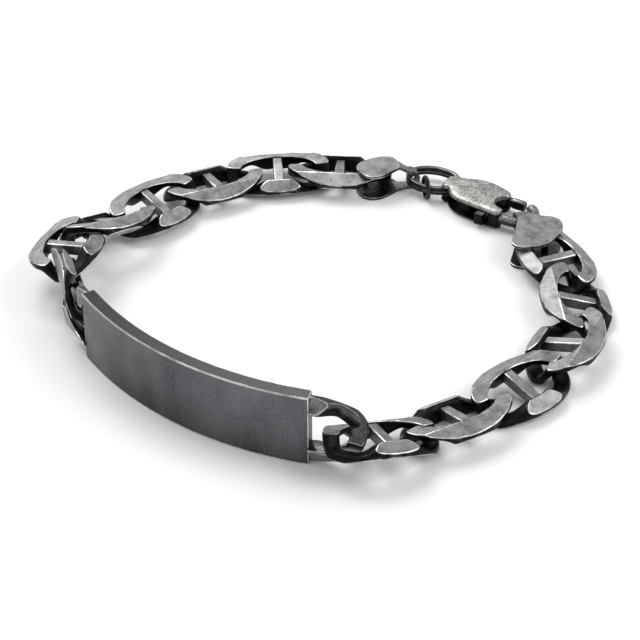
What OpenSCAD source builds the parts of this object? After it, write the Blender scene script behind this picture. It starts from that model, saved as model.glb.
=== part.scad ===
// Identity bracelet: a curved name plate on a mariner chain, closed by a lobster clasp.
// It lies closed on a table. The plate stands on its long edge, and the chain turns over to lie flat.
// Millimetres, +Z up, the table is z = 0.

/* [Name plate] */
// Height of the plate, from the table up
plate_h = 10; // [9:0.25:13]
// Thickness of the plate
plate_t = 1.9; // [1.4:0.1:2.6]
// Radius of the plate's outer face
plate_r = 46.8; // [46:0.1:48]
// Angle that the plate spans round the wrist
plate_arc = 45.2; // [43:0.1:46]
// Chamfer along the plate's long edges
plate_chamfer = 0.25; // [0.1:0.05:0.5]

/* [Chain links] */
// Half length of a link, along the middle of its wire
link_a = 6.6; // [6.2:0.05:6.8]
// Half width of a link, along the middle of its wire
link_b = 3.7; // [3.4:0.05:3.9]
// Half thickness of the chain between its filed faces
link_h = 1.3; // [1:0.05:1.5]
// Half width of the wire at the sides of a link
wire_side = 1.15; // [0.9:0.05:1.25]
// Half width of the wire at the ends of a link
wire_end = 1.05; // [0.8:0.05:1.1]
// Half height of the wire at the sides, before filing
rise_side = 1.5; // [1.2:0.05:1.7]
// Half height of the wire at the ends
rise_end = 0.8; // [0.6:0.05:0.9]
// How far the ends of the two strands part in height
twist = 1; // [0.8:0.05:1.1]
// Distance of the filed crease from the middle of the link
crease_y = 2.8; // [2.4:0.1:3.2]
// Drop of the outer filed face, per millimetre outwards
crease_slope = 0.5; // [0.3:0.05:0.7]
// Width of the cross bar
bar_w = 1.2; // [0.8:0.1:1.6]
// Height of the cross bar's top above the middle of the link
bar_top = 0.85; // [0.5:0.05:1.1]
// Depth of the cross bar's underside below the middle of the link
bar_low = 0.6; // [0.3:0.05:1]
// Tilt of the cross bar, which follows the twist of the wire
bar_tilt = 5; // [0:1:8]
// Depth of a half link's root in the plate's end
root_in = 0.7; // [0.5:0.1:0.9]

/* [Tags] */
// Thickness of the tags' sheet
tag_t = 0.42; // [0.3:0.02:0.44]
// Length of the left tag's leaves, from the neck
left_leaf_l = 6.4; // [6:0.1:6.8]
// Width of the left tag's leaves
left_leaf_w = 5.4; // [5:0.1:5.8]
// Length of the right tag's leaves, from the neck
right_leaf_l = 7.8; // [7.4:0.1:8.2]
// Width of the right tag's leaves
right_leaf_w = 8.3; // [7.8:0.1:8.8]
// Width of the left tag's neck
neck_left_w = 1.5; // [1.2:0.1:1.6]
// Width of the right tag's neck
neck_right_w = 2; // [1.6:0.1:2.2]
// Radius of the rivet that holds a link in its tag
rivet_r = 0.5; // [0.3:0.05:0.6]
// Height of the left tag's upper leaf, at its underside
left_leaf_z = 3.65; // [3.6:0.05:4.2]
// Height of the right tag's upper leaf, at its underside
right_leaf_z = 3.3; // [3.2:0.05:3.8]

/* [Rings] */
// Thickness of the big ring's wire
ring_wire = 0.72; // [0.5:0.02:0.8]
// Half length of the big ring, along its wire
ring_a = 3.8; // [3.6:0.05:4]
// Half width of the big ring, along its wire
ring_b = 2.7; // [2.5:0.05:2.9]
// Thickness of the small ring's wire
small_wire = 0.65; // [0.4:0.05:0.7]
// Free play of the small ring round the big one
small_play = 0.33; // [0.25:0.01:0.5]

/* [Clasp] */
// Length of the clasp's body, without its hook and its tail
clasp_l = 9.4; // [9:0.1:9.8]
// Width of the clasp's body
clasp_w = 7.2; // [6.9:0.1:7.5]
// Thickness of the clasp
clasp_t = 3; // [2.8:0.05:3.2]
// Height of the slot that holds the lever
slot_h = 1.5; // [1.3:0.05:1.7]
// Radius of the hook's round arm
hook_r = 0.75; // [0.6:0.05:0.8]
// Radius of the hook's bend, along the middle of its arm
hook_bend = 2.4; // [2.3:0.05:2.6]
// Radius of the lever's pivot pin
pivot_r = 0.5; // [0.35:0.05:0.6]
// Radius of the post that holds the big ring
post_r = 0.35; // [0.25:0.05:0.4]
// Free play of the big ring in the clasp's tail
tail_play = 0.2; // [0.12:0.02:0.26]
// Play on each side of the lever in its slot
lever_play = 0.15; // [0.1:0.05:0.25]
// Play round the hook and the ring in the tags' eyes
eye_play = 0.25; // [0.2:0.01:0.28]

/* [Hidden] */
$fn = 32;

// Route of the chain as it lies: each link's middle, then its heading, roll and pitch in degrees,
// then 1 where the link is turned end for end
ROUTE_LEFT = [
  [-32.2,  -1.9, 4.8,  105, -103,  -1, 1],
  [-33.9,   6.8, 5.2,   79,   -7,  -6, 0],
  [-29.2,  14.6, 4.0,   41,  -20, -10, 1],
  [-23.2,  21.9, 2.5,   46,   10,  -2, 0],
  [-15.3,  28.6, 1.8,   26,   -2,  -1, 1],
  [ -5.9,  31.9, 1.7,    5,    4,   1, 0],
  [  3.1,  31.9, 2.0,   -4,   -4,   0, 1]];
ROUTE_RIGHT = [
  [  7.5, -31.3, 3.1,   24,  -13, -12, 0],
  [ 16.8, -25.9, 1.9,   30,  -11,   0, 1],
  [ 25.3, -19.4, 1.6,   41,    6,   0, 0],
  [ 31.7, -10.9, 2.0,   63,  -11,   1, 1],
  [ 34.1,  -1.0, 1.8,   93,   10,   0, 0],
  [ 32.5,   8.6, 1.9,  110,    3,   0, 1]];

// The plate's arc: its centre and the angle of its right end
plate_centre = [10.4, 13.1];
plate_right = 255.7;
plate_left = plate_right - plate_arc;

// Where a link's wire starts and ends to turn from its side to its end
turn_from = 1.5;
turn_to = 4.5;
side_lift = 0.25;
link_steps = 40;

// The middle of the clasp and its heading
clasp_at = [24.7, 23.1, -33];
mid_z = clasp_t / 2;

// Outline of the clasp's body with its tail, as shares of its length and width
CLASP = [[-0.88, 0.06], [-0.85, -0.08], [-0.73, -0.05], [-0.66, -0.21], [-0.55, -0.3], [-0.42, -0.36],
         [-0.21, -0.39], [-0.03, -0.4], [0.16, -0.41], [0.28, -0.4], [0.28, -0.16], [0.2, -0.19],
         [0.11, 0.14], [0.19, 0.31], [0.18, 0.4], [0.14, 0.47], [0.04, 0.51], [-0.13, 0.58],
         [-0.29, 0.6], [-0.43, 0.57], [-0.56, 0.5], [-0.68, 0.42], [-0.79, 0.42], [-0.87, 0.35],
         [-0.89, 0.22]];
hook_at = [0.425 * clasp_l, 0.07 * clasp_w];
cut_at = [0.255 * clasp_l, 0.03 * clasp_w];
cut_r = 0.2 * clasp_l;
pivot_at = [0.04 * clasp_l, 0.375 * clasp_w];
post_at = [-0.82 * clasp_l, 0.3 * clasp_w];
// The lever's tail, from the pivot to the thumb knob, in the same shares
LEVER = [[-0.02, 0.44], [0.07, 0.46], [0.11, 0.31], [-0.01, 0.1], [-0.01, -0.14], [0.06, -0.36],
         [0.06, -0.43], [-0.05, -0.43], [-0.06, -0.36], [-0.11, -0.14], [-0.11, 0.12]];
// The room inside the body for the lever's tail, and the wider room at the edge for its knob
LEVER_ROOM = [[-0.5, -0.55], [-0.5, -0.14], [-0.29, 0], [-0.15, 0.28], [-0.07, 0.46], [0.01, 0.7],
              [0.32, 0.7], [0.32, -0.12], [0.12, -0.17], [0.12, -0.55]];
KNOB_ROOM = [[-0.41, -0.6], [-0.39, -0.22], [-0.26, -0.27], [-0.1, -0.34], [0.1, -0.37], [0.1, -0.6]];
// The thumb knob and the gate bar that closes the hook
knob_at = [0, -0.48 * clasp_w];
knob = [1.2, 1, 1.7];
gate_tip = hook_at[0] + hook_bend * cos(60) - hook_r - 0.3;
gate_w = 0.85;
gate_h = 1.7;

// A point of the clasp in the plan
function turned(p, a) = [p[0] * cos(a) - p[1] * sin(a), p[0] * sin(a) + p[1] * cos(a)];
function in_plan(p) = [clasp_at[0], clasp_at[1]] + turned(p, clasp_at[2]);

// The big ring's right end lies round the post
ring_turn = -22.5;
post_t = -6;
ring_at = in_plan(post_at) - turned([(ring_a - ring_wire / 2 - post_r - 0.16) * cos(post_t),
                                     (ring_b - ring_wire / 2) * sin(post_t)], ring_turn);

// Where each tag's eye hangs, and the tag's heading
hang_left = 0.12;
hang_left_t = 194.5;
eye_left = ring_at + turned([(ring_a - hang_left) * cos(hang_left_t), (ring_b - hang_left) * sin(hang_left_t)],
                            ring_turn);
head_left = 191;
hang_right = 0.3;
hang_right_t = -44;
eye_right = in_plan(hook_at + (hook_bend - hang_right) * [cos(hang_right_t), sin(hang_right_t)]);
head_right = -78;

// Inner radius of each eye, from what runs through it
eye_left_r = norm([ring_wire / 2, ring_wire]) + eye_play;
eye_right_r = hook_r + eye_play;

// Outlines of the leaves, from the neck outwards, as shares of their length and width
LEAF_LEFT = [[0, 0.17], [0.2, 0.33], [0.41, 0.48], [0.56, 0.54], [0.72, 0.54], [0.86, 0.44], [0.95, 0.26],
             [1, 0.02], [0.94, -0.19], [0.77, -0.33], [0.53, -0.43], [0.34, -0.46], [0.16, -0.44],
             [0.05, -0.33], [0, -0.17]];
LEAF_RIGHT = [[0, 0.145], [0.08, 0.28], [0.13, 0.42], [0.19, 0.48], [0.28, 0.505], [0.42, 0.505],
              [0.54, 0.47], [0.72, 0.325], [0.9, 0.155], [0.97, 0.025], [1, -0.12], [0.985, -0.325],
              [0.92, -0.445], [0.82, -0.495], [0.73, -0.48], [0.655, -0.435], [0.385, -0.315],
              [0.19, -0.23], [0, -0.145]];
rivet_left = [0.76, -0.22];
rivet_right = [0.6, 0.16];
neck_left = 0.12;
neck_right = 0.48;

function smooth(t) = let (u = min(1, max(0, t))) u * u * (3 - 2 * u);
function unit(v) = v / norm(v);

// One ring of eight points of a link's wire, at angle t round the link
function wire_ring(t) =
  let (x = link_a * cos(t), y = link_b * sin(t),
       n = unit([link_b * cos(t), link_a * sin(t)]),
       k = smooth((abs(x) - turn_from) / (turn_to - turn_from)),
       w = wire_side + (wire_end - wire_side) * k,
       r = rise_side + (rise_end - rise_side) * k,
       z = (side_lift + (twist - side_lift) * k) * sin(90 * min(1, max(-1, y))))
  [for (s = [[1, -0.5], [1, 0.5], [0.5, 1], [-0.5, 1], [-1, 0.5], [-1, -0.5], [-0.5, -1], [0.5, -1]])
    [x + n[0] * w * s[0], y + n[1] * w * s[0], z + r * s[1]]];

// The twisted wire of a link, closed on itself
module link_wire() {
  pts = [for (i = [0 : link_steps - 1]) each wire_ring(360 * i / link_steps)];
  faces = [for (i = [0 : link_steps - 1]) for (j = [0 : 7])
    let (a = i * 8 + j, b = i * 8 + (j + 1) % 8, k = (i + 1) % link_steps,
         c = k * 8 + (j + 1) % 8, d = k * 8 + j)
    each [[a, b, c], [a, c, d]]];
  polyhedron(points = pts, faces = faces, convexity = 6);
}

// The shape between the filed faces, as a bar along the chain
module filed(from = -10, to = 10) {
  out = link_b + 2 * wire_side;
  low = link_h - crease_slope * (out - crease_y);
  translate([from, 0, 0]) rotate([90, 0, 90]) linear_extrude(to - from)
    polygon([[crease_y, link_h], [-crease_y, link_h], [-out, low], [-out, -low],
             [-crease_y, -link_h], [crease_y, -link_h], [out, -low], [out, low]]);
}

// A whole link, or the part of it beyond x = from
module link(from = -10, to = 10) {
  intersection() {
    link_wire();
    filed(from, to);
  }
  intersection() {
    rotate([bar_tilt, 0, 0]) translate([-bar_w / 2, -link_b, -bar_low]) cube([bar_w, 2 * link_b, bar_low + bar_top]);
    filed(from, to);
  }
}

// A piece of the chain at one place of the route
module placed(p) {
  translate([p[0], p[1], p[2]]) rotate([p[4], -p[5], p[3]]) rotate([0, 0, 180 * p[6]]) children();
}

// The plate's ends, in the plan
function plate_end(a) = plate_centre + (plate_r - plate_t / 2) * [cos(a), sin(a)];

// Half a link, on edge, soldered to one end of the plate: its root lies inside the plate
module half_link(a, side) {
  e = plate_end(a);
  head = a + 90 * side;
  translate([e[0] - root_in * cos(head), e[1] - root_in * sin(head), plate_h / 2]) rotate([90 * side, 0, head])
    if (side > 0) rotate([0, 0, 180]) link(-10, 0);
    else link(0, 10);
}

module id_plate() {
  color("slategray") {
    translate([plate_centre[0], plate_centre[1], 0]) rotate([0, 0, plate_left])
      rotate_extrude(angle = plate_arc, $fn = 180)
        polygon([[plate_r - plate_t + plate_chamfer, 0], [plate_r - plate_chamfer, 0],
                 [plate_r, plate_chamfer], [plate_r, plate_h - plate_chamfer],
                 [plate_r - plate_chamfer, plate_h], [plate_r - plate_t + plate_chamfer, plate_h],
                 [plate_r - plate_t, plate_h - plate_chamfer], [plate_r - plate_t, plate_chamfer]]);
    half_link(plate_right, 1);
    half_link(plate_left, -1);
  }
}

// A folded tag: two leaves, a neck folded round an eye, and the rivet that holds the link
module tag(leaf, size, neck_l, neck_w, leaf_z, eye_r, rivet) {
  out = eye_r + tag_t;
  x = out + neck_l;
  outline = [for (q = leaf) [x + q[0] * size[0], q[1] * size[1]]];
  // Both leaves
  linear_extrude(tag_t) polygon(outline);
  translate([0, 0, leaf_z]) linear_extrude(tag_t) polygon(outline);
  // The neck's two straps
  translate([0, neck_w / 2, 0]) rotate([90, 0, 0]) linear_extrude(neck_w)
    polygon([[0, mid_z + eye_r], [x + tag_t, leaf_z], [x + tag_t, leaf_z + tag_t], [x, leaf_z + tag_t],
             [0, mid_z + out]]);
  translate([0, neck_w / 2, 0]) rotate([90, 0, 0]) linear_extrude(neck_w)
    polygon([[0, mid_z - eye_r], [0, mid_z - out], [x, 0], [x + tag_t, 0], [x + tag_t, tag_t]]);
  // The fold
  translate([0, neck_w / 2, mid_z]) rotate([90, 0, 0]) rotate([0, 0, 90])
    rotate_extrude(angle = 180) translate([eye_r, 0]) square([tag_t, neck_w]);
  translate([x + rivet[0] * size[0], rivet[1] * size[1], tag_t / 2]) cylinder(r = rivet_r, h = leaf_z);
}

module tag_left() {
  color("silver") translate([eye_left[0], eye_left[1], 0]) rotate([0, 0, head_left])
    tag(LEAF_LEFT, [left_leaf_l, left_leaf_w], neck_left, neck_left_w, left_leaf_z, eye_left_r, rivet_left);
}

module tag_right() {
  color("silver") translate([eye_right[0], eye_right[1], 0]) rotate([0, 0, head_right])
    tag(LEAF_RIGHT, [right_leaf_l, right_leaf_w], neck_right, neck_right_w, right_leaf_z, eye_right_r,
        rivet_right);
}

// The big ring: two turns of wire, one on the other
ring_steps = 36;
ring_sides = 8;
module oval(z) {
  pts = [for (i = [0 : ring_steps - 1]) let (t = 360 * i / ring_steps,
      n = unit([ring_b * cos(t), ring_a * sin(t)]))
    for (j = [0 : ring_sides - 1]) let (s = 360 * (j + 0.5) / ring_sides, r = ring_wire / 2 / cos(22.5))
      [ring_a * cos(t) + n[0] * r * cos(s), ring_b * sin(t) + n[1] * r * cos(s), z + r * sin(s)]];
  faces = [for (i = [0 : ring_steps - 1]) for (j = [0 : ring_sides - 1])
    let (a = i * ring_sides + j, b = i * ring_sides + (j + 1) % ring_sides, k = (i + 1) % ring_steps,
         c = k * ring_sides + (j + 1) % ring_sides, d = k * ring_sides + j)
    each [[a, b, c], [a, c, d]]];
  polyhedron(points = pts, faces = faces, convexity = 4);
}

module ring_big() {
  color("darkgray") translate([ring_at[0], ring_at[1], mid_z]) rotate([0, 0, ring_turn]) {
    oval(ring_wire * 0.48);
    oval(-ring_wire * 0.48);
  }
}

// The small ring hangs round the near strand of the big one, on edge
small_in = norm([ring_wire / 2, ring_wire]) + small_play;
module ring_small() {
  color("darkgray") translate([ring_at[0] - 1.2, ring_at[1] - ring_b + 0.25, small_in + small_wire])
    rotate([0, 90, 12]) rotate_extrude() translate([small_in + small_wire / 2, 0]) circle(d = small_wire, $fn = 16);
}

module in_clasp() {
  translate([clasp_at[0], clasp_at[1], 0]) rotate([0, 0, clasp_at[2]]) children();
}

// An outline of the clasp, from its shares, drawn in by k all round
function clasp_line(p, k = 0) = [for (q = p) let (x = q[0] * clasp_l, y = q[1] * clasp_w)
  [x < 2 ? -2.5 + (x + 2.5) * (1 - k) : x - k, y * (1 - 1.6 * k) + k]];

clevis_h = 2 * ring_wire + 2 * tail_play;
// How thick the clasp is at its edge, below its chamfer
edge_in = 0.4;
module clasp_body() {
  color("silver") in_clasp() {
    difference() {
      union() {
        translate([0, 0, edge_in]) linear_extrude(clasp_t - 2 * edge_in) polygon(clasp_line(CLASP));
        linear_extrude(clasp_t) polygon(clasp_line(CLASP, 0.08));
      }
      translate([cut_at[0], cut_at[1], -1]) cylinder(r = cut_r, h = clasp_t + 2);
      translate([0, 0, mid_z - slot_h / 2]) linear_extrude(slot_h) polygon(clasp_line(LEVER_ROOM));
      translate([0, 0, mid_z - knob[2] / 2 - lever_play]) linear_extrude(knob[2] + 2 * lever_play)
        polygon(clasp_line(KNOB_ROOM));
      translate([-1.2 * clasp_l, -clasp_w, mid_z - clevis_h / 2]) cube([0.83 * clasp_l, 2 * clasp_w, clevis_h]);
      translate([pivot_at[0], pivot_at[1], -1]) cylinder(r = pivot_r + 0.02, h = clasp_t + 2);
    }
    // The post that holds the big ring in the body's tail
    translate([post_at[0], post_at[1], 0.2]) cylinder(r = post_r, h = clasp_t - 0.4);
    // The hook: a straight arm, a bend and a round nose
    translate([0.15 * clasp_l, hook_at[1] - hook_bend, mid_z]) rotate([0, 90, 0])
      cylinder(r = hook_r, h = hook_at[0] - 0.15 * clasp_l);
    translate([hook_at[0], hook_at[1], mid_z]) rotate([0, 0, -90])
      rotate_extrude(angle = 150) translate([hook_bend, 0]) circle(r = hook_r, $fn = 24);
    translate([hook_at[0] + hook_bend * cos(60), hook_at[1] + hook_bend * sin(60), mid_z]) sphere(r = hook_r);
  }
}

module clasp_pin() {
  color("gray") in_clasp() translate([pivot_at[0], pivot_at[1], 0.1]) cylinder(r = pivot_r, h = clasp_t - 0.2);
}

// The lever: its tail with the thumb knob on one side of the pivot, the gate on the other
module clasp_lever() {
  h = slot_h - 2 * lever_play;
  gate_from = cut_at[0] - 0.45;
  color("darkgray") in_clasp() difference() {
    union() {
      translate([0, 0, mid_z - h / 2]) linear_extrude(h) polygon(clasp_line(LEVER));
      translate([pivot_at[0], pivot_at[1], mid_z - h / 2]) cylinder(r = pivot_r + 0.45, h = h);
      translate([pivot_at[0] + 0.3, pivot_at[1] - gate_w / 2, mid_z - h / 2])
        cube([gate_tip - pivot_at[0] - 0.3, gate_w, h]);
      translate([gate_from, pivot_at[1] - gate_w / 2, mid_z - gate_h / 2])
        cube([gate_tip - gate_from, gate_w, gate_h]);
      translate([knob_at[0] - knob[0] / 2, knob_at[1] - knob[1] / 2, mid_z - knob[2] / 2]) cube(knob);
    }
    translate([pivot_at[0], pivot_at[1], -1]) cylinder(r = pivot_r + 0.05, h = clasp_t + 2);
  }
}

module link_l1() { color("lightgray") placed(ROUTE_LEFT[0]) link(); }
module link_l2() { color("lightgray") placed(ROUTE_LEFT[1]) link(); }
module link_l3() { color("lightgray") placed(ROUTE_LEFT[2]) link(); }
module link_l4() { color("lightgray") placed(ROUTE_LEFT[3]) link(); }
module link_l5() { color("lightgray") placed(ROUTE_LEFT[4]) link(); }
module link_l6() { color("lightgray") placed(ROUTE_LEFT[5]) link(); }
module link_l7() { color("lightgray") placed(ROUTE_LEFT[6]) link(); }
module link_r1() { color("lightgray") placed(ROUTE_RIGHT[0]) link(); }
module link_r2() { color("lightgray") placed(ROUTE_RIGHT[1]) link(); }
module link_r3() { color("lightgray") placed(ROUTE_RIGHT[2]) link(); }
module link_r4() { color("lightgray") placed(ROUTE_RIGHT[3]) link(); }
module link_r5() { color("lightgray") placed(ROUTE_RIGHT[4]) link(); }
module link_r6() { color("lightgray") placed(ROUTE_RIGHT[5]) link(); }

id_plate();
link_l1();
link_l2();
link_l3();
link_l4();
link_l5();
link_l6();
link_l7();
link_r1();
link_r2();
link_r3();
link_r4();
link_r5();
link_r6();
tag_left();
tag_right();
ring_big();
ring_small();
clasp_body();
clasp_pin();
clasp_lever();
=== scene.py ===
# %% [markdown]
# # A name bracelet in blackened silver
# The bracelet is a curved name plate on a flat mariner chain. A chain of this kind is made of heavy oval
# links with a bar across each. When it is finished it is pressed flat and filed, so every link shows flat
# filed facets with sharp creases. The silver is then blackened all over and rubbed back: the hollows stay
# black, the facets turn grey, and the creases shine. The whole lesson is about that one finish, on seven
# kinds of surface.
#
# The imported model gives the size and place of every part. We load it first, and note its box.

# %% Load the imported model
import math

import bmesh
import bpy
from mathutils import Matrix, Vector, noise


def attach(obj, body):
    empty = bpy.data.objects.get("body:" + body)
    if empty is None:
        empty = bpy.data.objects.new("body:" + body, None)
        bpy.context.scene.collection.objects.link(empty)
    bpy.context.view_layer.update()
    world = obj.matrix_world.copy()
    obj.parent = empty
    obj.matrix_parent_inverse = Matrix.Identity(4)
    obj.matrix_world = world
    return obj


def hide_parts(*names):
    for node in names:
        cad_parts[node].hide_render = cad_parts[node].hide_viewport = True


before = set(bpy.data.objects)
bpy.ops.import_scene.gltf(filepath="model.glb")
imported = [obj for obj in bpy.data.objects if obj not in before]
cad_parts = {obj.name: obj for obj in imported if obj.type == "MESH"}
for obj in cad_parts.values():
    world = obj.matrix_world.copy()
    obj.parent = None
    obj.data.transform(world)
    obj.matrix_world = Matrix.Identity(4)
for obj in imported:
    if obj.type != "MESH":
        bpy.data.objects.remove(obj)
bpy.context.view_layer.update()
scene = bpy.context.scene

# %% [markdown]
# ## The camera
# The photograph looks down on the table from about 36 degrees, through a long lens from close by. A lens
# is given by its length against a sensor 36 mm wide. The fitted view is 640 pixels wide and 1886 deep,
# which is an angle of about 19 degrees.

# %% Camera
LOOK_AT = Vector((0.0002, -0.0025, 0.0))
LOOK_DOWN = math.radians(35.7)
CAMERA_AWAY = 0.250
SENSOR = 36.0
VIEW_DEEP, VIEW_WIDE = 1886, 640

camera = bpy.data.objects.new("camera", bpy.data.cameras.new("camera"))
scene.collection.objects.link(camera)
camera.data.sensor_width = SENSOR
camera.data.lens = SENSOR * VIEW_DEEP / VIEW_WIDE
camera.data.clip_start = 0.01
camera.location = LOOK_AT + CAMERA_AWAY * Vector((0, -math.cos(LOOK_DOWN), math.sin(LOOK_DOWN)))
camera.rotation_euler = (math.pi / 2 - LOOK_DOWN, 0, 0)
scene.camera = camera
print("lens in mm:", round(camera.data.lens, 1), "camera at:", [round(c, 4) for c in camera.location])

# %% [markdown]
# ## How a finish is written
# A finish is a small net of nodes. Written out node by node it is hard to read, so a value in the net is
# wrapped in the class `Tone`, and sums on tones add the Math nodes. `1 - rubbed` then works as it does on
# paper. Colours go through a Mix node, because a Math node would turn them grey. Every other node comes
# from one method of the bench, `node`, which takes the type, the settings, and what goes into its sockets.

# %% Tones: sums that become nodes
class Tone:
    """One value on its way through a finish."""

    def __init__(self, bench, socket):
        self.bench, self.socket = bench, socket

    def sum(self, operation, first, second):
        return self.bench.node("ShaderNodeMath", {"operation": operation}, {0: first, 1: second})

    def __add__(self, other):
        return self.sum("ADD", self, other)

    def __sub__(self, other):
        return self.sum("SUBTRACT", self, other)

    def __rsub__(self, other):
        return self.sum("SUBTRACT", other, self)

    def __mul__(self, other):
        return self.sum("MULTIPLY", self, other)

    def __truediv__(self, other):
        return self.sum("DIVIDE", self, other)

    def __rtruediv__(self, other):
        return self.sum("DIVIDE", other, self)

    def __pow__(self, other):
        return self.sum("POWER", self, other)

    __radd__, __rmul__ = __add__, __mul__

    def at_most(self, other):
        return self.sum("MINIMUM", self, other)


# %% The bench that a finish is mixed on
class Bench:
    """The node net of one finish, with its shader ready."""

    def __init__(self, name):
        self.finish = bpy.data.materials.new(name)
        self.finish.use_nodes = True
        self.net = self.finish.node_tree
        self.shader = self.net.nodes["Principled BSDF"]

    def node(self, kind, settings=None, inputs=None, take=0):
        made = self.net.nodes.new(kind)
        for name, value in (settings or {}).items():
            setattr(made, name, value)
        for name, value in (inputs or {}).items():
            self.feed(made, name, value)
        return Tone(self, made.outputs[take])

    def feed(self, made, name, value):
        if isinstance(name, int):
            socket = made.inputs[name]
        else:
            socket = next(s for s in made.inputs if name in (s.identifier, s.name))
        if isinstance(value, Tone):
            self.net.links.new(value.socket, socket)
        elif isinstance(value, tuple) and len(value) == 3 and len(socket.default_value) == 4:
            socket.default_value = (*value, 1)
        else:
            socket.default_value = value

    def mix(self, share, first, second):
        """The first colour where share is 0, the second where it is 1."""
        return self.node("ShaderNodeMix", {"data_type": "RGBA"},
                         {"Factor_Float": share, "A_Color": first, "B_Color": second}, take=2)

    def flag(self, name):
        """A mark that the maker left on the mesh, such as filed or rubbed."""
        return self.node("ShaderNodeAttribute", {"attribute_name": name}, take="Fac")

    def lay(self, scale=(1, 1, 1), turn=0):
        """Places on the piece itself, in millimetres, stretched by scale after a turn about its height."""
        spot = self.node("ShaderNodeAttribute", {"attribute_name": "lay"}, take="Vector")
        return self.node("ShaderNodeMapping", {"vector_type": "POINT"},
                         {"Vector": spot, "Rotation": (0, 0, math.radians(turn)), "Scale": scale})

    def along(self, axis):
        """How far along one axis of the piece a place lies, in millimetres."""
        return self.node("ShaderNodeSeparateXYZ", {}, {"Vector": self.lay()}, take=axis)

    def grain(self, where, per_mm, detail=3, rough=0.6):
        return self.node("ShaderNodeTexNoise", {},
                         {"Vector": where, "Scale": per_mm, "Detail": detail, "Roughness": rough})

    def hard(self, tone, low, high):
        """Stretches a tone between low and high to black and white."""
        return self.node("ShaderNodeMapRange", {"clamp": True},
                         {"Value": tone, "From Min": low, "From Max": high})

    def done(self, colour, roughness, bumps, depth_mm, strength):
        self.feed(self.shader, "Base Color", colour)
        self.feed(self.shader, "Roughness", roughness)
        self.shader.inputs["Metallic"].default_value = 1.0
        bump = self.node("ShaderNodeBump", {},
                         {"Height": bumps, "Distance": depth_mm / 1000, "Strength": strength})
        self.feed(self.shader, "Normal", bump)
        print("finish", self.finish.name, "has", len(self.net.nodes), "nodes")
        return self.finish


# %% [markdown]
# ## The finish of the chain
# Blackened silver has three states on a link. The hollows and side walls keep the black skin. The filed
# facets are rubbed to a speckled grey, with fine file strokes across them. The creases are bright silver,
# worn most where the chain touches things. The mesh carries those states as marks, `filed` and `rubbed`,
# so the finish follows the real shape of the metal. Grain, clouds, wear and strokes are noise at four scales.

# %% Chain finish
def times(colour, k):
    return tuple(k * c for c in colour)


def blackened(name, black, grey, bright, strokes=0.3, rough=(0.42, 0.46, 0.3), speckle=0.4, edge_tone=2.1):
    """Black skin, grey facets and bright creases. rough lists how rough each of the three is."""
    bench = Bench(name)
    filed, rubbed, rim = bench.flag("filed"), bench.flag("rubbed"), bench.flag("rim")
    fine = bench.grain(bench.lay(), 5.0, detail=4, rough=0.7)
    cloud = bench.grain(bench.lay(), 0.8, detail=3)
    worn = bench.grain(bench.lay(), 0.45, detail=2)
    stroke = bench.grain(bench.lay((7, 0.5, 1), 35), 1.0, detail=2)
    grey_here = bench.hard(fine, 0.42, 0.6) * speckle + bench.hard(cloud, 0.35, 0.65) * 0.5
    grey_here = (grey_here + bench.hard(stroke, 0.35, 0.65) * strokes) / (0.5 + strokes + speckle)
    skin = bench.mix(bench.hard(fine, 0.4, 0.75) * bench.hard(cloud, 0.4, 0.7), black, times(black, 3.5))
    skin = bench.mix(rim ** 2 * bench.hard(worn, 0.4, 0.7) * 0.5, skin, grey)
    facet = bench.mix(grey_here, times(grey, 0.2), times(grey, 1.5))
    facet = bench.mix(rim * bench.hard(worn, 0.3, 0.7) * 0.45, facet, times(grey, edge_tone))
    colour = bench.mix(filed, skin, facet)
    shine = rubbed * (bench.hard(worn, 0.36, 0.56) * 0.6 + 0.4) * (bench.hard(fine, 0.2, 0.6) * 0.25 + 0.75)
    colour = bench.mix(shine.at_most(1), colour, bright)
    roughness = rough[0] + filed * (rough[1] - rough[0]) + rubbed * (rough[2] - rough[1])
    roughness = roughness + (fine - 0.5) * 0.3
    return bench.done(colour, roughness, fine + stroke * filed * strokes, 0.02, 0.4)


CHAIN = blackened("blackened_chain", (0.010, 0.010, 0.011), (0.25, 0.253, 0.258), (0.80, 0.80, 0.79))

# %% [markdown]
# ## The other finishes
# The plate is blackened too but only rubbed softly with a cloth. So its face is a blue grey with fine grain
# and a faint cloud. On top of that it is painted lighter at the left end and towards the top: painted light.
# Its long top edge is filed rougher, and is darkest at the left. The tags and the clasp are tumbled: the
# same silver, with less black left on it.
# The end loops, the rings and the lever keep more of the black, and the rings' grey tops are painted light.

# %% Plate, tag, ring and clasp finishes
PLATE_FROM, PLATE_TO, PLATE_TOP = -39.6, -11.3, 10


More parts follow.
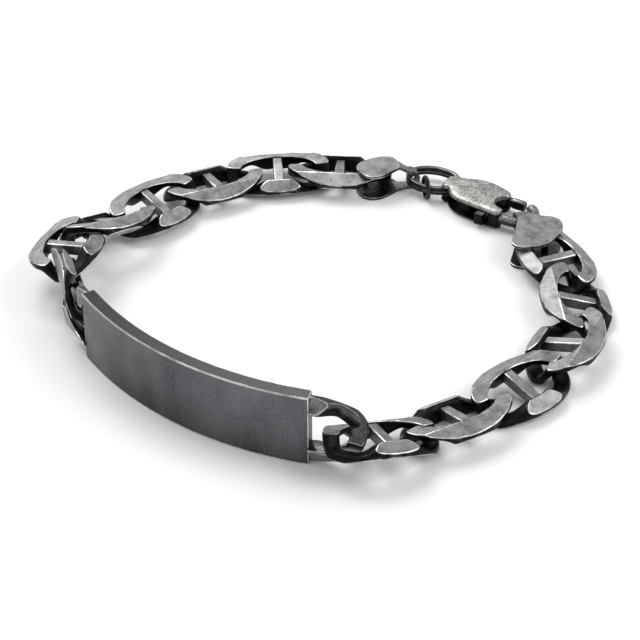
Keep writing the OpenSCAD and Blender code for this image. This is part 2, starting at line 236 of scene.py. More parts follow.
def cloth_rubbed_painted_light(name):
    """The plate's finish, its face given painted light at the left end and towards the top. Places count from
    the middle of its curve, so its length lies at negative X.
    """
    bench = Bench(name)
    filed, rubbed = bench.flag("filed"), bench.flag("rubbed")
    fine = bench.grain(bench.lay(), 7, detail=4, rough=0.7)
    cloud = bench.grain(bench.lay((1, 1, 0.5)), 0.14, detail=3, rough=0.5)
    smear = bench.grain(bench.lay((0.6, 0.6, 2)), 0.5, detail=3)
    to_right = bench.hard(bench.along("X"), PLATE_FROM, PLATE_TO)
    # Painted light: the face is lightened towards its left end and towards its top.
    painted_light_end = 1 - bench.hard(to_right, 0.0, 0.3)
    painted_light_top = bench.hard(bench.along("Z"), 0, PLATE_TOP)
    share = (bench.hard(cloud, 0.38, 0.62) * 0.3 + bench.hard(fine, 0.4, 0.6) * 0.42 + painted_light_end * 0.28
             + painted_light_top * 0.22)
    face = bench.mix(share.at_most(1), (0.018, 0.019, 0.024), (0.19, 0.193, 0.203))
    edge = bench.mix(bench.hard(fine, 0.4, 0.6) * 0.45 + to_right * 0.5, (0.006, 0.006, 0.006),
                     (0.15, 0.15, 0.147))
    colour = bench.mix(filed, face, edge)
    shine = rubbed * (bench.hard(smear, 0.35, 0.6) * 0.65 + 0.35) * (bench.hard(fine, 0.2, 0.5) * 0.3 + 0.7)
    colour = bench.mix(shine.at_most(1), colour, (0.86, 0.86, 0.85))
    roughness = 0.42 + filed * 0.08 - rubbed * 0.12 + (fine - 0.5) * 0.14
    return bench.done(colour, roughness, fine + filed * fine * 3, 0.014, 0.35)


PLATE = cloth_rubbed_painted_light("plate_cloth_rubbed_painted_light")
LOOPS = blackened("blackened_loops", (0.075, 0.075, 0.08), (0.2, 0.2, 0.205), (0.75, 0.75, 0.74), 0.1,
                  (0.24, 0.28, 0.24))
TAG = blackened("rubbed_tag", (0.016, 0.016, 0.016), (0.25, 0.25, 0.25), (0.9, 0.9, 0.89), 0.15, speckle=0.6)
WIRE = blackened("blackened_wire", (0.014, 0.014, 0.015), (0.11, 0.11, 0.112), (0.7, 0.7, 0.69), 0.0)
CLASP = blackened("tumbled_clasp", (0.012, 0.012, 0.012), (0.46, 0.455, 0.44), (0.85, 0.85, 0.84), 0.0,
                  speckle=0.8, edge_tone=0.15)
LEVER = blackened("blackened_lever", (0.02, 0.02, 0.02), (0.17, 0.17, 0.17), (0.75, 0.75, 0.74), 0.0)

# %% [markdown]
# ## From the bench to its place
# Every piece is first made in its own easy position, in millimetres, with its length along X. The helper
# below notes for each point where it lies on the piece (that is what the grain follows), moves the piece
# to its place, turns it into metres and hands it to the frame. The `seed` shifts the grain, so that no two
# links are speckled alike.

# %% Moving a piece to its place
BODY = "bracelet"
GRAIN_STEP = Vector((31.7, 12.3, 5.1))


def shift(x, y, z=0):
    return Matrix.Translation((x, y, z))


def turn(x=0, y=0, z=0):
    """The same order of turns as the part's source: about X, then Y, then Z."""
    return (Matrix.Rotation(math.radians(z), 4, "Z") @ Matrix.Rotation(math.radians(y), 4, "Y")
            @ Matrix.Rotation(math.radians(x), 4, "X"))


def place(bm, name, node, finish, where, seed=0, body=BODY, crease=50):
    """Edges sharper than crease, in degrees, are shaded as edges."""
    lay, rim = bm.verts.layers.float_vector.new("lay"), bm.verts.layers.float.new("rim")
    rubbed = bm.faces.layers.float.get("rubbed")
    for v in bm.verts:
        v[lay] = v.co + GRAIN_STEP * seed
        v[rim] = max((f[rubbed] for f in v.link_faces), default=0)
    for e in bm.edges:
        if len(e.link_faces) == 2 and e.calc_face_angle(0) > math.radians(crease):
            e.smooth = False
    bm.transform(Matrix.Scale(0.001, 4) @ where)
    mesh = bpy.data.meshes.new(name)
    bm.to_mesh(mesh)
    bm.free()
    piece = bpy.data.objects.new(name, mesh)
    scene.collection.objects.link(piece)
    mesh.materials.append(finish)
    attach(piece, body)
    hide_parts(node)
    print(name, "has", len(mesh.polygons), "faces")


# %% [markdown]
# ## A link of the chain
# A mariner link is an oval of heavy wire with a bar across it. Seen from the end the wire is twisted: one
# half of the oval rises and the other dips, so the links can pass through each other and still lie flat.
# It could be modelled with a curve and a bevel, but a curve's section can't change from tall at the sides
# to flat at the ends. So we set down rings of points round the oval, each ring a rounded square.

# %% The twisted wire
LINK_A, LINK_B = 6.6, 3.7
FLAT, CREASE, SLOPE = 1.3, 2.8, 0.5
BAR_LONG, BAR_WIDE, BAR_DOWN, BAR_UP, BAR_TURN = 5.5, 1.38, 0.6, 0.85, 5
WORN, SHARP = 0.085, 17
HALF_FROM = 0.62
SQUARE, ROUNDER = 5.0, 3.2


def soft_step(t):
    t = min(1, max(0, t))
    return t * t * (3 - 2 * t)


def rounded(angle, power):
    """A point on a circle at power 2, and nearer to a square the higher the power."""
    c, s = math.cos(angle), math.sin(angle)
    return (math.copysign(abs(c) ** (2 / power), c), math.copysign(abs(s) ** (2 / power), s))


def marks(bm):
    """The two marks on faces that the finishes read."""
    return (bm.faces.layers.float.get("filed") or bm.faces.layers.float.new("filed"),
            bm.faces.layers.float.get("rubbed") or bm.faces.layers.float.new("rubbed"))


def sweep(bm, rings, closed=True):
    """Joins rings of points into a tube, and closes its ends if it has any."""
    rows = [[bm.verts.new(p) for p in ring] for ring in rings]
    sides = len(rows[0])
    for i in range(len(rows) if closed else len(rows) - 1):
        a, b = rows[i], rows[(i + 1) % len(rows)]
        for j in range(sides):
            face = bm.faces.new((a[j], a[(j + 1) % sides], b[(j + 1) % sides], b[j]))
            face.smooth = True
    if not closed:
        bm.faces.new(rows[0])
        bm.faces.new(rows[-1])
    return rows


def wire_rings(seed, power=ROUNDER, stations=88, sides=20):
    """The link's wire: tall and narrow at its sides, flat at its ends, with a few small dents."""
    rings = []
    for i in range(stations):
        t = math.tau * i / stations
        x, y = LINK_A * math.cos(t), LINK_B * math.sin(t)
        out = Vector((LINK_B * math.cos(t), LINK_A * math.sin(t), 0)).normalized()
        k = soft_step((abs(x) - 1.5) / 3)
        wide, tall = 1.15 - 0.1 * k, 1.5 - 0.7 * k
        z = (0.25 + 0.75 * k) * math.sin(math.pi / 2 * min(1, max(-1, y)))
        ring = []
        for j in range(sides):
            a, b = rounded(math.tau * j / sides, power)
            point = Vector((x, y, z)) + out * wide * a + Vector((0, 0, tall * b))
            dent = 0.05 * noise.noise(point * 0.8 + Vector((seed * 7.3, 0, seed)))
            ring.append(point + out * dent * a + Vector((0, 0, dent * b)))
        rings.append(ring)
    return rings


print("one wire has", len(wire_rings(1)), "rings")

# %% [markdown]
# ### Filing
# The jeweller presses the soldered chain flat and files the top, then both shoulders at a slant, on each
# face. We do the same: six planes cut the wire, and each cut is closed by a flat face that is marked
# `filed`. Then the sharp edges are broken with a narrow bevel, marked `rubbed`. A boolean would cut too,
# but plane cuts leave clean outlines for the bevel.

# %% Filing and rubbing the edges
def file_off(bm, point, direction, mark=1.0):
    """Takes away what lies beyond a plane, and closes the cut with filed faces."""
    filed = marks(bm)[0]
    bmesh.ops.bisect_plane(bm, geom=bm.verts[:] + bm.edges[:] + bm.faces[:], dist=1e-5,
                           plane_co=point, plane_no=direction, clear_outer=True)
    rim = [e for e in bm.edges if e.is_boundary]
    for face in bmesh.ops.edgeloop_fill(bm, edges=rim)["faces"]:
        face[filed], face.smooth = mark, False


def filed_edges(bm, sharper_than):
    """The edges of filed faces that are sharper than an angle in degrees."""
    filed = marks(bm)[0]
    return [e for e in bm.edges if len(e.link_faces) == 2
            and e.calc_face_angle(0) > math.radians(sharper_than)
            and any(f[filed] > 0.5 for f in e.link_faces)]


def break_edges(bm, width, edges):
    """Turns edges into narrow rubbed faces."""
    filed, rubbed = marks(bm)
    made = bmesh.ops.bevel(bm, geom=edges, offset=width, segments=2, profile=0.5,
                           affect="EDGES", clamp_overlap=False)["faces"]
    for face in made:
        face[rubbed], face[filed], face.smooth = 1.0, 0.0, True
    return made


def block(bm, size, centre, edge, where=Matrix()):
    """A small bar with broken edges."""
    corners = [Vector((sx * size[0] / 2, sy * size[1] / 2, sz * size[2] / 2)) + Vector(centre)
               for sz in (-1, 1) for sy in (-1, 1) for sx in (-1, 1)]
    v = [bm.verts.new(where @ c) for c in corners]
    faces = [bm.faces.new([v[i] for i in q]) for q in
             ((0, 2, 3, 1), (4, 5, 7, 6), (0, 1, 5, 4), (2, 6, 7, 3), (0, 4, 6, 2), (1, 3, 7, 5))]
    filed = marks(bm)[0]
    faces[1][filed] = 1.0
    break_edges(bm, edge, list({e for f in faces for e in f.edges}))


def cross_bar(bm):
    """The bar: a flat rubbed top with broken edges, and grey sides."""
    filed, rubbed = marks(bm)
    before = set(bm.faces)
    block(bm, (BAR_WIDE, BAR_LONG, BAR_DOWN + BAR_UP), (0, 0, (BAR_UP - BAR_DOWN) / 2), 0.14, turn(BAR_TURN))
    for face in set(bm.faces) - before:
        face.normal_update()
        if abs(face.normal.z) < 0.3:
            face[filed] = 0.7
        if face.normal.z <= 0.2:
            face[rubbed] = 0.0


def make_link(seed, half=0):
    """A link, or with half = 1 or -1 the part of it on that side of its middle."""
    bm = bmesh.new()
    marks(bm)
    sweep(bm, wire_rings(seed, SQUARE if half else ROUNDER))
    bmesh.ops.recalc_face_normals(bm, faces=bm.faces)
    for up in (1, -1):
        file_off(bm, (0, 0, up * FLAT), (0, 0, up))
        for side in (1, -1):
            file_off(bm, (0, side * CREASE, up * FLAT), Vector((0, side * SLOPE, up)).normalized())
    if half:
        for up in (1, -1):
            file_off(bm, (half * (LINK_A + 0.45), 0, up * FLAT),
                     Vector((half, 0.45 * up * half, 0.9 * up)).normalized(), 0.8)
            file_off(bm, (half * (LINK_A - 1.2), -up * half * (LINK_B + 0.75), up * 0.6),
                     Vector((half * 0.5, -up * half * 0.8, 0.5 * up)).normalized(), 0.6)
        file_off(bm, (half * HALF_FROM, 0, 0), (-half, 0, 0), 0.0)
    bmesh.ops.remove_doubles(bm, verts=bm.verts, dist=0.06)
    bmesh.ops.recalc_face_normals(bm, faces=bm.faces)
    break_edges(bm, WORN, filed_edges(bm, SHARP))
    if not half:
        cross_bar(bm)
    return bm


test = make_link(1)
rubbed_faces = sum(f[marks(test)[1]] > 0.5 for f in test.faces)
print("a link has", len(test.faces), "faces,", rubbed_faces, "of them rubbed")
test.free()

# %% [markdown]
# ## Laying the chain
# The list below is the chain's route, as in the part's source: the middle of each link, its heading, its
# roll and its pitch, and 1 where the link is turned end for end. At the plate's left end the first link
# stands on edge like the plate, and the links after it lie nearly flat. At the right end all of them do.

# %% The thirteen links
ROUTE_LEFT = [
    [-32.2, -1.9, 4.8, 105, -103, -1, 1], [-33.9, 6.8, 5.2, 79, -7, -6, 0],
    [-29.2, 14.6, 4.0, 41, -20, -10, 1], [-23.2, 21.9, 2.5, 46, 10, -2, 0],
    [-15.3, 28.6, 1.8, 26, -2, -1, 1], [-5.9, 31.9, 1.7, 5, 4, 1, 0],
    [3.1, 31.9, 2.0, -4, -4, 0, 1]]
ROUTE_RIGHT = [
    [7.5, -31.3, 3.1, 24, -13, -12, 0], [16.8, -25.9, 1.9, 30, -11, 0, 1],
    [25.3, -19.4, 1.6, 41, 6, 0, 0], [31.7, -10.9, 2.0, 63, -11, 1, 1],
    [34.1, -1.0, 1.8, 93, 10, 0, 0], [32.5, 8.6, 1.9, 110, 3, 0, 1]]

for side, route, first_seed in (("l", ROUTE_LEFT, 1), ("r", ROUTE_RIGHT, 11)):
    for number, (x, y, z, heading, roll, pitch, flip) in enumerate(route, 1):
        where = shift(x, y, z) @ turn(roll, -pitch, heading) @ turn(z=180 * flip)
        seed = first_seed + number - 1
        place(make_link(seed), f"mariner_link_{side}{number}", f"link_{side}{number}",
              CHAIN, where, seed)

# %% [markdown]
# ## The name plate
# The plate is a strip of sheet bent to a curve, 10 mm high. Its face is plain. Its long edges are broken
# by hand, so the bright line along them wavers and has small nicks. A bent grid could give the curve, but
# sweeping the plate's own section round an arc keeps its radius true.

# %% The plate's body
PLATE_CENTRE, PLATE_R, PLATE_T, PLATE_H = Vector((10.4, 13.1, 0)), 46.8, 1.9, 10.0
PLATE_RIGHT, PLATE_ARC, CHAMFER = 255.7, 45.2, 0.17
PLATE_LEFT = PLATE_RIGHT - PLATE_ARC


def plate_section():
    """Points round the plate's section, as distance from the middle of its curve and height."""
    r0, r1, c, h = PLATE_R - PLATE_T, PLATE_R, CHAMFER, PLATE_H
    return [(r0 + c, 0), (r1 - c, 0), (r1, c), (r1, h * 0.35), (r1, h * 0.7), (r1, h - c), (r1 - c, h),
            (r0 + c, h), (r0, h - c), (r0, c)]


def waver(i, j):
    """How far the hand that broke the edges strayed, at station i on corner j."""
    return (0.05 * noise.noise(Vector((i * 0.23, j * 1.7, 0)))
            + 0.03 * noise.noise(Vector((i * 0.9, j, 5))))


def make_plate(steps=150):
    bm = bmesh.new()
    filed, rubbed = marks(bm)
    rings = []
    for i in range(steps + 1):
        a = math.radians(PLATE_LEFT + PLATE_ARC * i / steps)
        ring = []
        for j, (r, z) in enumerate(plate_section()):
            nick = waver(i, j)
            if j in (5, 2):
                z -= abs(nick) * (1 if j == 5 else -1)
            elif j in (6, 7, 0, 1):
                r -= nick * (1 if j in (6, 1) else -1)
            ring.append((r * math.cos(a), r * math.sin(a), z))
        rings.append(ring)
    sweep(bm, rings, closed=False)
    bmesh.ops.recalc_face_normals(bm, faces=bm.faces)
    for face in bm.faces:
        middle, normal = face.calc_center_median(), face.normal
        flat = Vector((normal.x, normal.y, 0)).length
        if 0.3 < abs(normal.z) < 0.95 and flat > 0.3:
            outer = Vector((middle.x, middle.y, 0)).length > PLATE_R - PLATE_T / 2
            face[rubbed] = (1.0 if normal.z > 0 else 0.75) if outer else 0.3
        elif normal.z > 0.95 or middle.z > PLATE_H - 0.1:
            face[filed] = 1.0
    ends = [f for f in bm.faces if len(f.verts) > 4]
    made = break_edges(bm, 0.12, list({e for f in ends for e in f.edges}))
    print("the plate's end edges have", len(made), "rubbed faces")
    return bm


place(make_plate(), "name_plate", "id_plate", PLATE, Matrix.Translation(PLATE_CENTRE),
      crease=30)

# %% [markdown]
# ### Its end loops
# Half a link is soldered to each end of the plate, standing on edge like the plate. It is the same wire,
# sawn through near the middle, so we saw the link that we already have. We file it a little more, at
# the bend. The sawn ends reach a hair into the plate, and that is the whole joint: no solder shows.

# %% Half links
LOOP_IN = 0.7


def half_link(at, side):
    """Where the half link goes whose end of the plate lies at an angle in degrees."""
    a = math.radians(at)
    heading = at + 90 * side
    inward = Vector((math.cos(math.radians(heading)), math.sin(math.radians(heading)), 0)) * LOOP_IN
    end = PLATE_CENTRE + (PLATE_R - PLATE_T / 2) * Vector((math.cos(a), math.sin(a), 0)) - inward
    return shift(end.x, end.y, PLATE_H / 2) @ turn(90 * side, 0, heading) @ turn(z=180 if side > 0 else 0)


for name, at, side, seed in (("end_loop_right", PLATE_RIGHT, 1, 31), ("end_loop_left", PLATE_LEFT, -1, 32)):
    place(make_link(seed, -side), name, "id_plate", LOOPS, half_link(at, side), seed)

# %% [markdown]
# ## The big and the small ring
# A double ring of drawn wire joins the left tag to the clasp, and one small ring hangs on it. Drawn wire
# is round, so a circle swept round an oval is all it needs. Each turn is painted grey on its upper half and
# black below, painted light and shade from above, and its upper outer side carries a rubbed band, worn and
# also painted brighter as a highlight.

# %% Rings
RING_WIRE, RING_A, RING_B, MID_Z = 0.72, 3.8, 2.7, 1.5
CLASP_AT, CLASP_TURN, CLASP_L, CLASP_W, CLASP_T = Vector((24.7, 23.1, 0)), -33, 9.4, 7.2, 3.0
POST_AT = Vector((-0.82 * CLASP_L, 0.3 * CLASP_W, 0))
POST_R, POST_GAP, RING_TURN = 0.35, 0.16, -22.5


def turned(v, degrees):
    """A vector turned about the vertical."""
    return Matrix.Rotation(math.radians(degrees), 3, "Z") @ Vector(v)


def in_clasp(v):
    """A place on the clasp, as a place on the table."""
    return CLASP_AT + turned(v, CLASP_TURN)


def on_oval(a, b, degrees):
    """The place at an angle on an oval with half lengths a and b."""
    return Vector((a * math.cos(math.radians(degrees)), b * math.sin(math.radians(degrees)), 0))


ring_at = in_clasp(POST_AT) - turned(
    on_oval(RING_A - RING_WIRE / 2 - POST_R - POST_GAP, RING_B - RING_WIRE / 2, -6), RING_TURN)


def hoop(bm, a, b, wire, z, stations=96, sides=16):
    """One turn of round wire on an oval: upper half painted grey and lower half black as painted light and
    shade from above, and a rubbed band on its upper outer side that is wear with a painted highlight.
    """
    rings = []
    for i in range(stations):
        t = math.tau * i / stations
        out = Vector((b * math.cos(t), a * math.sin(t), 0)).normalized()
        mid = Vector((a * math.cos(t), b * math.sin(t), z))
        rings.append([mid + wire / 2 * (out * math.cos(s) + Vector((0, 0, math.sin(s))))
                      for s in (math.tau * j / sides for j in range(sides))])
    filed, rubbed = marks(bm)
    before = set(bm.faces)
    sweep(bm, rings)
    for face in set(bm.faces) - before:
        face.normal_update()
        middle = face.calc_center_median()
        out = Vector((middle.x / a ** 2, middle.y / b ** 2, 0)).normalized()
        height = (middle.z - z) / wire * 2
        reach = (middle - Vector((0, 0, middle.z))).dot(out)
        # Painted light and shade: the wire's upper half goes grey and its lower half stays black; the bright
        # upper outer band is wear with a painted highlight.
        face[filed] = 1.0 if height > 0.3 else 0.2
        face[rubbed] = 0.3 if 0.55 < height < 0.9 and reach > 0 else 0.0


big = bmesh.new()
for z in (0.48, -0.48):
    hoop(big, RING_A, RING_B, RING_WIRE, z * RING_WIRE)
bmesh.ops.recalc_face_normals(big, faces=big.faces)
place(big, "double_ring", "ring_big", WIRE,
      shift(ring_at.x, ring_at.y, MID_Z) @ turn(z=RING_TURN), seed=41)

SMALL_WIRE = 0.65
small_in = math.hypot(RING_WIRE / 2, RING_WIRE) + 0.33
small = bmesh.new()
hoop(small, small_in + SMALL_WIRE / 2, small_in + SMALL_WIRE / 2, SMALL_WIRE, 0, 64, 14)
bmesh.ops.recalc_face_normals(small, faces=small.faces)
place(small, "small_ring", "ring_small", WIRE,
      shift(ring_at.x - 1.2, ring_at.y - RING_B + 0.25, small_in + SMALL_WIRE) @ turn(0, 90, 12), seed=42)

# %% [markdown]
# ## The two folded tags
# Each tag is cut from sheet: two leaves joined by a narrow neck. The neck is folded round what it hangs
# from, and a rivet holds the last link between the leaves. The sheet's cut edge shows as a bright line.
# A leaf is its outline, made smooth, with a thickness. The neck is a flat ribbon led round the eye.

# %% Leaves and ribbons
TAG_T = 0.42


def smooth_line(points, times=3, closed=True):
    """Cuts the corners off a line of points, a few times over."""
    line = [Vector(p) for p in points]
    for _ in range(times):
        step, count = [], len(line)
        for i in range(count if closed else count - 1):
            a, b = line[i], line[(i + 1) % count]
            step += [a * 0.75 + b * 0.25, a * 0.25 + b * 0.75]
        line = step if closed else [line[0]] + step + [line[-1]]
    return line


def slab(bm, outline, low, high, edge=0.07, filed_top=True):
    """A flat piece between two heights, with broken edges."""
    filed = marks(bm)[0]
    bottom = [bm.verts.new((p[0], p[1], low)) for p in outline]
    top = [bm.verts.new((p[0], p[1], high)) for p in outline]
    count = len(outline)
    caps = [bm.faces.new(bottom[::-1]), bm.faces.new(top)]
    for i in range(count):
        bm.faces.new((bottom[i], bottom[(i + 1) % count], top[(i + 1) % count], top[i])).smooth = True
    caps[1][filed] = 1.0 if filed_top else 0.0
    if edge:
        break_edges(bm, edge, list({e for cap in caps for e in cap.edges}))


def ribbon(bm, path, wide, thick, flare, edge=0.06):
    """A flat strip led along a path in the XZ plane, wider by flare at its ends, with broken long edges."""
    filed = marks(bm)[0]
    rings, reach = [], max(p.x for p in path)
    for i, p in enumerate(path):
        along = (path[min(i + 1, len(path) - 1)] - path[max(i - 1, 0)]).normalized()
        up = Vector((-along.z, 0, along.x))
        half = wide / 2 * (1 + flare * max(0, p.x / reach) ** 2)
        rings.append([p + up * thick / 2 * s + Vector((0, half * w, 0))
                      for w, s in ((-1, -1), (1, -1), (1, 1), (-1, 1))])
    before = set(bm.faces)
    rows = sweep(bm, rings, closed=False)
    for face in set(bm.faces) - before:
        face[filed] = 1.0
    edges = [e for e in {e for row in rows for v in row for e in v.link_edges}
             if len(e.link_faces) == 2 and e.calc_face_angle(0) > 0.8]
    break_edges(bm, edge, edges)


def make_tag(leaf, size, neck_l, neck_w, leaf_z, eye_r, rivet):
    """A tag with its eye at the middle. leaf_z is the upper leaf's height, rivet its place on the leaf."""
    bm = bmesh.new()
    marks(bm)
    x = eye_r + TAG_T + neck_l
    outline = smooth_line([(x + px * size[0], py * size[1], 0) for px, py in leaf], 1)
    slab(bm, outline, 0, TAG_T, filed_top=False)
    slab(bm, outline, leaf_z, leaf_z + TAG_T)
    mid = eye_r + TAG_T / 2
    upper = leaf_z + TAG_T / 2
    path = [Vector((x + 0.7, 0, upper - 0.05)), Vector((x + 0.1, 0, upper - 0.02))]
    path += [Vector((mid * math.cos(a), 0, MID_Z + mid * math.sin(a)))
             for a in (math.radians(d) for d in range(80, 281, 12))]
    path += [Vector((x + 0.1, 0, TAG_T / 2)), Vector((x + 0.7, 0, TAG_T / 2 + 0.05))]
    ribbon(bm, smooth_line(path, 2, closed=False), neck_w, TAG_T, 0.7)
    pin = [(x + rivet[0] * size[0] + 0.5 * math.cos(a), rivet[1] * size[1] + 0.5 * math.sin(a))
           for a in (math.tau * i / 24 for i in range(24))]
    slab(bm, pin, TAG_T / 2, upper, 0)
    bmesh.ops.dissolve_degenerate(bm, dist=0.003, edges=bm.edges[:])
    bmesh.ops.recalc_face_normals(bm, faces=bm.faces)
    return bm


# %% Tags in their places
LEAF_LEFT = [(0, 0.17), (0.2, 0.33), (0.41, 0.48), (0.56, 0.54), (0.72, 0.54), (0.86, 0.44), (0.95, 0.26),
             (1, 0.02), (0.94, -0.19), (0.77, -0.33), (0.53, -0.43), (0.34, -0.46), (0.16, -0.44),
             (0.05, -0.33), (0, -0.17)]
LEAF_RIGHT = [(0, 0.145), (0.08, 0.28), (0.13, 0.42), (0.19, 0.48), (0.28, 0.505), (0.42, 0.505),
              (0.54, 0.47), (0.72, 0.325), (0.9, 0.155), (0.97, 0.025), (1, -0.12), (0.985, -0.325),
              (0.92, -0.445), (0.82, -0.495), (0.73, -0.48), (0.655, -0.435), (0.385, -0.315),
              (0.19, -0.23), (0, -0.145)]
HOOK_AT, HOOK_BEND, HOOK_R = Vector((0.425 * CLASP_L, 0.07 * CLASP_W, 0)), 2.4, 0.75
EYE_ROOM = 0.25
eye_left_r = math.hypot(RING_WIRE / 2, RING_WIRE) + EYE_ROOM
eye_right_r = HOOK_R + EYE_ROOM
eye_left = ring_at + turned(on_oval(RING_A - 0.12, RING_B - 0.12, 194.5), RING_TURN)
eye_right = in_clasp(HOOK_AT + on_oval(HOOK_BEND - 0.3, HOOK_BEND - 0.3, -44))
print("tag eyes at", [round(c, 2) for c in eye_left], "and", [round(c, 2) for c in eye_right])

left = make_tag(LEAF_LEFT, (6.4, 5.4), 0.12, 1.5, 3.65, eye_left_r, (0.76, -0.22))
place(left, "fan_tag_left", "tag_left", TAG,
      shift(eye_left.x, eye_left.y) @ turn(z=191), 51, crease=35)
right = make_tag(LEAF_RIGHT, (7.8, 8.3), 0.48, 2.0, 3.3, eye_right_r, (0.6, 0.16))
place(right, "fan_tag_right", "tag_right", TAG,
      shift(eye_right.x, eye_right.y) @ turn(z=-78), 52, crease=35)

# %% [markdown]
# ## The lobster clasp
# The clasp's body is cast: a flat, softly domed lobe with a round bite where the hook opens, a hollow for
# the lever, and a forked tail that holds the big ring on a post. Casting leaves soft edges, so the lobe
# is built as rings of its own outline, each drawn in a little more towards the top. The hollows are cut
# with booleans, as a burr would cut them, and a bevel then breaks their edges.

# %% The body of the clasp
CLASP_LINE = [(-0.88, 0.06), (-0.85, -0.08), (-0.73, -0.05), (-0.66, -0.21), (-0.55, -0.3), (-0.42, -0.36),
              (-0.21, -0.39), (-0.03, -0.4), (0.16, -0.41), (0.28, -0.4), (0.28, -0.16), (0.2, -0.19),
              (0.11, 0.14), (0.19, 0.31), (0.18, 0.4), (0.14, 0.47), (0.04, 0.51), (-0.13, 0.58),
              (-0.29, 0.6), (-0.43, 0.57), (-0.56, 0.5), (-0.68, 0.42), (-0.79, 0.42), (-0.87, 0.35),
              (-0.89, 0.22)]
LEVER_LINE = [(-0.02, 0.44), (0.07, 0.46), (0.11, 0.31), (-0.01, 0.1), (-0.01, -0.14), (0.06, -0.36),
              (0.06, -0.43), (-0.05, -0.43), (-0.06, -0.36), (-0.11, -0.14), (-0.11, 0.12)]
LEVER_ROOM = [(-0.5, -0.55), (-0.5, -0.14), (-0.29, 0), (-0.15, 0.28), (-0.07, 0.46), (0.01, 0.7),
              (0.32, 0.7), (0.32, -0.12), (0.12, -0.17), (0.12, -0.55)]
KNOB_ROOM = [(-0.41, -0.6), (-0.39, -0.22), (-0.26, -0.27), (-0.1, -0.34), (0.1, -0.37), (0.1, -0.6)]
PIVOT = Vector((0.04 * CLASP_L, 0.375 * CLASP_W, 0))
KNOB = (1.2, 1.0, 1.7)
ROOM_UP, KNOB_UP, PIN_R, PIN_GAP = 0.75, 1.0, 0.5, 0.02


def drawn_in(line, k=0.0):
    """An outline of the clasp in millimetres, drawn in by the share k."""
    out = []
    for px, py in line:
        x, y = px * CLASP_L, py * CLASP_W
        out.append(Vector((-2.5 + (x + 2.5) * (1 - k) if x < 2 else x - k, y * (1 - 1.6 * k) + k, 0)))
    return out


def cutter(outline, low, high):
    """A tool for a boolean, as an object."""
    bm = bmesh.new()
    slab(bm, outline, low, high, 0)
    bmesh.ops.recalc_face_normals(bm, faces=bm.faces)
    mesh = bpy.data.meshes.new("cutter")
    bm.to_mesh(mesh)
    bm.free()
    tool = bpy.data.objects.new("cutter", mesh)
    scene.collection.objects.link(tool)
    return tool


def circle(centre, radius, count=48):
    return [Vector((centre[0] + radius * math.cos(a), centre[1] + radius * math.sin(a), 0))
            for a in (math.tau * i / count for i in range(count))]


def make_clasp():
    bm = bmesh.new()
    rings = []
    for k, z in ((0.13, 0.02), (0.04, 0.15), (0.0, 0.42), (0.0, 1.5), (0.0, 2.45), (0.025, 2.72),
                 (0.07, 2.88), (0.15, 2.97), (0.26, 3.0)):
        rings.append([Vector((p.x, p.y, z)) for p in smooth_line(drawn_in(CLASP_LINE, k), 2)])
    sweep(bm, rings, closed=False)
    bmesh.ops.recalc_face_normals(bm, faces=bm.faces)
    mesh = bpy.data.meshes.new("lobe")
    bm.to_mesh(mesh)
    bm.free()
    lobe = bpy.data.objects.new("lobe", mesh)
    scene.collection.objects.link(lobe)
    fork = [(-1.2 * CLASP_L, -CLASP_W), (-0.37 * CLASP_L, -CLASP_W), (-0.37 * CLASP_L, CLASP_W),
            (-1.2 * CLASP_L, CLASP_W)]
    fork_h = 2 * RING_WIRE + 0.4
    tools = [cutter(circle((0.255 * CLASP_L, 0.03 * CLASP_W), 0.2 * CLASP_L), -1, 4),
             cutter(drawn_in(LEVER_ROOM), MID_Z - ROOM_UP, MID_Z + ROOM_UP),
             cutter(drawn_in(KNOB_ROOM), MID_Z - KNOB_UP, MID_Z + KNOB_UP),
             cutter(fork, MID_Z - fork_h / 2, MID_Z + fork_h / 2),
             cutter(circle(PIVOT, PIN_R + PIN_GAP, 32), -1, 4)]
    for tool in tools:
        cut = lobe.modifiers.new("cut", "BOOLEAN")
        cut.operation, cut.solver, cut.object = "DIFFERENCE", "EXACT", tool
    soften = lobe.modifiers.new("soften", "BEVEL")
    soften.width, soften.segments = 0.07, 2
    soften.limit_method, soften.angle_limit = "ANGLE", math.radians(38)
    graph = bpy.context.evaluated_depsgraph_get()
    cast = bpy.data.meshes.new_from_object(lobe.evaluated_get(graph))
    for spent in tools + [lobe]:
        bpy.data.objects.remove(spent)
    bm = bmesh.new()
    bm.from_mesh(cast)
    filed, rubbed = marks(bm)
    for face in bm.faces:
        face.smooth = True
        middle = face.calc_center_median()
        if middle.z > 2.8:
            face[filed] = 1.0
        elif middle.z > 2.45:
            face[filed] = 0.7
        elif face.normal.z > 0.2 and face.calc_area() < 0.05:
            face[rubbed] = 0.4
    return bm


NOSE_AT = 60


def hook(bm):
    """The round hook: a straight arm out of the body, a bend and a rounded nose."""
    path = [Vector((0.15 * CLASP_L + i * 0.45, HOOK_AT.y - HOOK_BEND, MID_Z)) for i in range(6)]
    path = [p for p in path if p.x < HOOK_AT.x - 0.1]
    path += [Vector((HOOK_AT.x + HOOK_BEND * math.cos(a), HOOK_AT.y + HOOK_BEND * math.sin(a), MID_Z))
             for a in (math.radians(d) for d in range(-90, NOSE_AT + 1, 6))]
    rings, widths = [], [1.0] * len(path)
    last = path[-1]
    ahead = Vector((-math.sin(math.radians(NOSE_AT)), math.cos(math.radians(NOSE_AT)), 0))
    for d in (25, 50, 70, 85):
        path.append(last + ahead * HOOK_R * math.sin(math.radians(d)))
        widths.append(math.cos(math.radians(d)))
    for i, (p, w) in enumerate(zip(path, widths)):
        along = (path[min(i + 1, len(path) - 1)] - path[max(i - 1, 0)]).normalized()
        side = Vector((along.y, -along.x, 0))
        rings.append([p + HOOK_R * w * (side * math.cos(s) + Vector((0, 0, math.sin(s))))
                      for s in (math.tau * j / 20 for j in range(20))])
    filed = marks(bm)[0]
    before = set(bm.faces)
    sweep(bm, rings, closed=False)
    for face in set(bm.faces) - before:
        face[filed] = 0.55 if face.calc_center_median().z > MID_Z + 0.3 else 0.1


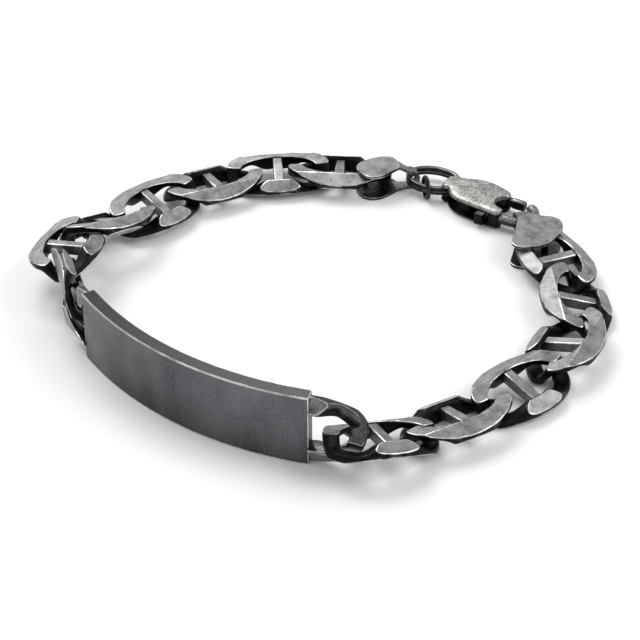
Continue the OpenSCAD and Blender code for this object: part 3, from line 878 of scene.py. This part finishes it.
clasp = make_clasp()
hook(clasp)
slab(clasp, circle(POST_AT, POST_R, 20), 0.2, CLASP_T - 0.2, 0)
bmesh.ops.dissolve_degenerate(clasp, dist=0.003, edges=clasp.edges[:])
bmesh.ops.recalc_face_normals(clasp, faces=clasp.faces)
to_clasp = Matrix.Translation(CLASP_AT) @ turn(z=CLASP_TURN)
place(clasp, "clasp_lobe", "clasp_body", CLASP, to_clasp, 61, crease=32)

# %% [markdown]
# ### The lever and its pin
# The lever turns on a pin. Its gate closes the hook, and its knob, cut with small teeth for the thumb,
# stands out of the body's near edge. It moves with its own body, so it is a piece of its own.

# %% The lever and the pin
GATE_GAP, GATE_WIDE = 0.3, 0.85


def make_lever():
    """The lever in its closed place: its plate, the boss round the pin, the arm, the gate and the knob."""
    bm = bmesh.new()
    marks(bm)
    h = 2 * ROOM_UP - 0.3
    tip = HOOK_AT.x + HOOK_BEND * math.cos(math.radians(NOSE_AT)) - HOOK_R - GATE_GAP
    gate_from = 0.255 * CLASP_L - 0.45
    slab(bm, smooth_line(drawn_in(LEVER_LINE), 1), MID_Z - h / 2, MID_Z + h / 2, 0.06)
    slab(bm, circle(PIVOT, 0.95, 32), MID_Z - h / 2 + 0.01, MID_Z + h / 2 - 0.01, 0.06)
    arm_from = PIVOT.x + 0.3
    block(bm, (tip - arm_from, GATE_WIDE, h), ((tip + arm_from) / 2, PIVOT.y, MID_Z), 0.06)
    block(bm, (tip - gate_from, GATE_WIDE, 1.6), ((tip + gate_from) / 2, PIVOT.y, MID_Z), 0.3)
    teeth = [(-0.5, -0.5), (-0.38, -0.36), (-0.26, -0.5), (-0.12, -0.36), (0, -0.5), (0.12, -0.36),
             (0.26, -0.5), (0.38, -0.36), (0.5, -0.5), (0.5, 0.5), (-0.5, 0.5)]
    slab(bm, [(x * KNOB[0], -0.48 * CLASP_W + y * KNOB[1]) for x, y in teeth], MID_Z - KNOB[2] / 2,
         MID_Z + KNOB[2] / 2, 0.05)
    bmesh.ops.dissolve_degenerate(bm, dist=0.003, edges=bm.edges[:])
    bmesh.ops.recalc_face_normals(bm, faces=bm.faces)
    rubbed = marks(bm)[1]
    for face in bm.faces:
        face[rubbed] *= 0.35
    return bm


place(make_lever(), "clasp_gate", "clasp_lever", LEVER, to_clasp, 62, body="lever", crease=30)

pin = bmesh.new()
marks(pin)
slab(pin, circle(PIVOT, PIN_R, 32), 0.1, CLASP_T - 0.1, 0.1)
place(pin, "hinge_pin", "clasp_pin", CLASP, to_clasp, 63, crease=40)

# %% [markdown]
# ## The table and the light
# The photograph has a plain white table under large soft lamps. White all round would make silver look
# flat, so one large lamp stands high at the back left, where it draws the light edges of the facets, and
# a weaker one stands at the right.

# %% Table and lamps
def lamp(name, at, size, power):
    """A flat lamp that is aimed at the middle of the bracelet."""
    light = bpy.data.lights.new(name, "AREA")
    light.shape, light.size, light.size_y, light.energy = "RECTANGLE", size[0], size[1], power
    holder = bpy.data.objects.new(name, light)
    scene.collection.objects.link(holder)
    holder.location = at
    holder.rotation_euler = (-Vector(at)).to_track_quat("-Z", "Y").to_euler()


table = bmesh.new()
bmesh.ops.create_grid(table, x_segments=2, y_segments=2, size=1.5)
sheet = bpy.data.meshes.new("table")
table.to_mesh(sheet)
table.free()
floor = bpy.data.objects.new("table", sheet)
scene.collection.objects.link(floor)
floor.location.z = -0.00003
white = Bench("white_table")
white.shader.inputs["Base Color"].default_value = (0.9, 0.9, 0.9, 1)
white.shader.inputs["Roughness"].default_value = 0.9
sheet.materials.append(white.finish)

world = bpy.data.worlds.new("studio")
scene.world = world
world.use_nodes = True
world.node_tree.nodes["Background"].inputs["Color"].default_value = (1, 1, 1, 1)
world.node_tree.nodes["Background"].inputs["Strength"].default_value = 0.66
lamp("high_lamp", (-0.25, 0.35, 0.55), (0.5, 0.4), 2.9)
lamp("side_lamp", (0.45, -0.1, 0.4), (0.35, 0.35), 1.2)
scene.view_settings.view_transform = "Standard"
